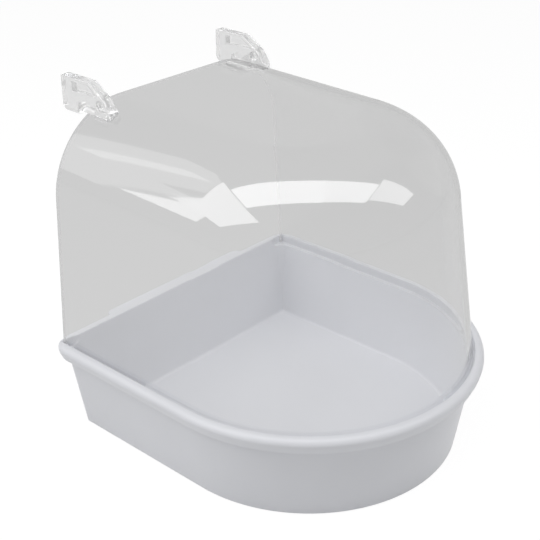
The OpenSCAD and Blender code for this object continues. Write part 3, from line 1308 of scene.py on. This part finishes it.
@dataclass
class Lens:
    """The camera, from the photograph's own perspective.

    Attributes:
        place: its place in millimetres.
        turn_deg, height_deg, roll_deg: its turn about the object, its angle above it and its roll.
        focal_mm, sensor_mm: focal length and width of the picture behind the lens.
        near: nearest distance that it sees, in metres.
    """

    place: Triple = (-294.6, -248.578, 268.013)
    turn_deg: float = -47.683
    height_deg: float = 27.252
    roll_deg: float = -0.565
    focal_mm: float = 74.563
    sensor_mm: float = 36.0
    near: float = 0.01

    def build(self) -> None:
        """Makes the camera and makes it the scene's own. Its axes are right, up and back, then rolled."""
        a, e, roll = (math.radians(v) for v in (self.turn_deg, self.height_deg, self.roll_deg))
        back = np.array([math.sin(a) * math.cos(e), -math.cos(a) * math.cos(e), math.sin(e)])
        right = np.array([math.cos(a), math.sin(a), 0.0])
        up = np.cross(back, right)
        across = right * math.cos(roll) + up * math.sin(roll)
        above = up * math.cos(roll) - right * math.sin(roll)
        data = bpy.data.cameras.new("photo_camera")
        data.lens = self.focal_mm
        data.sensor_width = self.sensor_mm
        data.clip_start = self.near
        obj = linked("photo_camera", data)
        obj.matrix_world = standing((across, above, back), np.array(self.place) * MM)
        bpy.context.scene.camera = obj


@dataclass
class Softbox:
    """A flat studio lamp, aimed at a point.

    Attributes:
        name: the lamp's name.
        place, aim: its middle, and the point that it faces.
        long_axis: the direction of its length.
        size: its length and width.
        brightness: brightness of its face.
        mirrored: True if it shows in glossy surfaces.
    """

    name: str
    place: Triple
    aim: Triple
    long_axis: Triple
    size: Pair
    brightness: float
    mirrored: bool

    def build(self) -> None:
        """Makes the lamp. Its watts are pi times its area times its brightness."""
        data = bpy.data.lights.new(self.name, "AREA")
        data.shape = "RECTANGLE"
        data.size, data.size_y = self.size
        data.energy = math.pi * self.size[0] * self.size[1] * self.brightness
        place, aim = np.array(self.place), np.array(self.aim)
        away = (place - aim) / np.linalg.norm(place - aim)
        across = np.array(self.long_axis) - away * np.dot(self.long_axis, away)
        across /= np.linalg.norm(across)
        obj = linked(self.name, data)
        obj.matrix_world = standing((across, np.cross(away, across), away), place)
        obj.visible_glossy = self.mirrored


@dataclass
class Studio:
    """A pale floor, a white surround and soft lamps.

    Attributes:
        surround: strength with which the surround lights the object.
        surround_white, floor_white: white that is seen in the open, and through clear plastic.
        floor_half, floor_drop, floor_rows: the floor's half width, depth below the tray and points a side.
        floor_share: share of its own light and shadow that the floor shows.
        paper: how pale the floor is.
        across, towards: the photograph's left to right, and level towards the camera.
        ceiling: height of the level lamps.
        seam_drop: how far the seam hangs below the panels that it brightens.
        front_aim, front_axis: where the front fill faces, and the direction of its length.
        back_aim, back_axis: the same for the fills at the back.
    """

    surround: float = 0.24
    surround_white: Pair = (0.985, 0.53)
    floor_half: float = 3.0
    floor_drop: float = 0.0003
    floor_rows: int = 9
    floor_share: float = 0.14
    floor_white: Pair = (1.085, 0.605)
    paper: float = 0.75
    across: Triple = (0.673, -0.740, 0.0)
    towards: Triple = (-0.740, -0.673, 0.0)
    ceiling: float = 0.66
    seam_drop: float = 0.003
    front_aim: Triple = (0.0, 0.0, 0.05)
    front_axis: Triple = (1.0, -0.15, 0.0)
    back_aim: Triple = (-0.05, 0.03, 0.12)
    back_axis: Triple = (1.0, 0.55, 0.0)

    def seen_rays(self, tree: Tree) -> Socket:
        """Tells what is seen from what only lights.

        Args:
            tree: the node tree of the world or of a material.

        Returns:
            A socket that is 1 for rays from the camera, from gloss and through clear plastic.
        """
        ray = tree.nodes.new("ShaderNodeLightPath").outputs
        direct = worked_out(tree, "MAXIMUM", ray["Is Camera Ray"], ray["Is Glossy Ray"])
        return worked_out(tree, "MAXIMUM", direct, ray["Is Transmission Ray"])

    def white_strength(self, tree: Tree, strengths: Pair) -> Socket:
        """The strength of the white a ray sees, which is a pale grey behind clear plastic.

        Args:
            tree: the node tree of the world or of a material.
            strengths: the strength seen in the open, and through clear plastic.

        Returns:
            The socket that holds it.
        """
        clear = tree.nodes.new("ShaderNodeLightPath").outputs["Is Transmission Ray"]
        return worked_out(tree, "MULTIPLY_ADD", clear, strengths[1] - strengths[0], strengths[0])

    def world(self) -> None:
        """White where it is seen, and a plain soft fill where it lights."""
        world = bpy.data.worlds.new("white_surround")
        world.use_nodes = True
        tree = world.node_tree
        tree.nodes.clear()
        out = tree.nodes.new("ShaderNodeOutputWorld")
        fill, white = (tree.nodes.new("ShaderNodeBackground") for _ in range(2))
        fill.inputs["Color"].default_value = neutral(1.0)
        fill.inputs["Strength"].default_value = self.surround
        white.inputs["Color"].default_value = neutral(1.0)
        tree.links.new(self.white_strength(tree, self.surround_white), white.inputs["Strength"])
        seen = self.seen_rays(tree)
        mixed_shader(tree, seen, fill.outputs["Background"], white.outputs["Background"], out)
        bpy.context.scene.world = world

    def floor(self) -> None:
        """A level sheet under the object, white where it is seen, which keeps a soft shadow."""
        rows = self.floor_rows
        t = np.linspace(-1, 1, rows) * self.floor_half
        x, y = np.meshgrid(t, t, indexing="ij")
        points = np.stack([x, y, np.full_like(x, -self.floor_drop)], -1).reshape(-1, 3)
        i, j = (v.ravel() for v in np.meshgrid(np.arange(rows - 1), np.arange(rows - 1), indexing="ij"))
        a = i * rows + j
        faces = np.stack([a, a + rows, a + rows + 1, a + 1], -1)
        mesh = bpy.data.meshes.new("studio_floor")
        mesh.from_pydata(points.tolist(), [], faces.tolist())
        obj = linked("studio_floor", mesh)
        material, tree = blank_material("studio_paper")
        paper = tree.nodes.new("ShaderNodeBsdfDiffuse")
        paper.inputs["Color"].default_value = neutral(self.paper)
        white = tree.nodes.new("ShaderNodeEmission")
        white.inputs["Color"].default_value = neutral(1.0)
        tree.links.new(self.white_strength(tree, self.floor_white), white.inputs["Strength"])
        share = worked_out(tree, "MULTIPLY", self.seen_rays(tree), 1.0 - self.floor_share)
        mixed_shader(tree, share, paper.outputs["BSDF"], white.outputs["Emission"], tree.nodes["out"])
        obj.data.materials.append(material)

    def level(
        self, name: str, x: Pair, y: Pair, width: float, brightness: float, drop: float = 0.0
    ) -> Softbox:
        """A lamp that hangs level and shows in the hood's gloss.

        Args:
            name: the lamp's name.
            x: how far across both ends of its middle line are.
            y: how far towards the camera they are.
            width: its width.
            brightness: brightness of its face.
            drop: how far below the others it hangs.

        Returns:
            The lamp.
        """
        flat = np.outer(x, self.across) + np.outer(y, self.towards)
        start, end = flat + np.array([0.0, 0.0, self.ceiling - drop])
        middle, along = (start + end) / 2, end - start
        below = middle - np.array([0.0, 0.0, 1.0])
        size = (float(np.linalg.norm(along)), width)
        return Softbox(name, tuple(middle), tuple(below), tuple(along), size, brightness, True)

    def lamps(self) -> list[Softbox]:
        """The lamps.

        A bent strip hangs overhead, whose left part is wider, and nearer the camera two dim panels with a
        brighter seam. Three fills, which don't show in gloss, light the front and the left side of the back.

        Returns:
            The lamps, as placed in the hood's reflections.
        """
        front, back = (self.front_aim, self.front_axis), (self.back_aim, self.back_axis)
        return [
            self.level("overhead_middle", (-0.36, 0.2), (0.22, 0.15), 0.29, 2.9),
            self.level("overhead_mid_right", (0.2, 0.55), (0.148, 0.106), 0.28, 2.65),
            self.level("overhead_right", (0.55, 1.36), (0.045, -0.055), 0.31, 1.9),
            self.level("overhead_left", (-1.25, -0.36), (0.42, 0.31), 0.72, 2.2),
            self.level("overhead_far_left", (-2.4, -1.25), (0.225, 0.215), 0.27, 2.05),
            self.level("dim_panel", (-0.95, -0.43), (-0.128, -0.138), 0.195, 0.6),
            self.level("dim_panel_left", (-3.5, -0.95), (-0.04, -0.105), 0.28, 0.6),
            self.level("panel_seam", (-1.0, -0.53), (-0.135, -0.135), 0.04, 0.7, self.seam_drop),
            Softbox("front_fill", (-0.25, -1.6, 0.45), *front, (1.6, 1.2), 0.6, False),
            Softbox("back_left", (-0.72, 1.25, 0.75), *back, (1.0, 1.0), 0.42, False),
            Softbox("back_left_core", (-0.66, 1.15, 0.75), *back, (0.9, 0.4), 0.35, False),
        ]

    def build(self) -> None:
        """Lights the stage."""
        self.world()
        self.floor()
        for lamp in self.lamps():
            lamp.build()


def main() -> None:
    """Builds the camera, the pieces and the studio in order."""
    logging.basicConfig(level=logging.INFO, format="%(name)s %(message)s")
    bpy.context.scene.view_settings.view_transform = "Standard"
    Lens().build()
    for piece in (Tray(), Hood(), Hook(Side.LEFT), Hook(Side.RIGHT)):
        obj = piece.build()
        piece.dress(obj)
        log.info("dressed %s", obj.name)
    Studio().build()


if __name__ == "__main__":
    main()
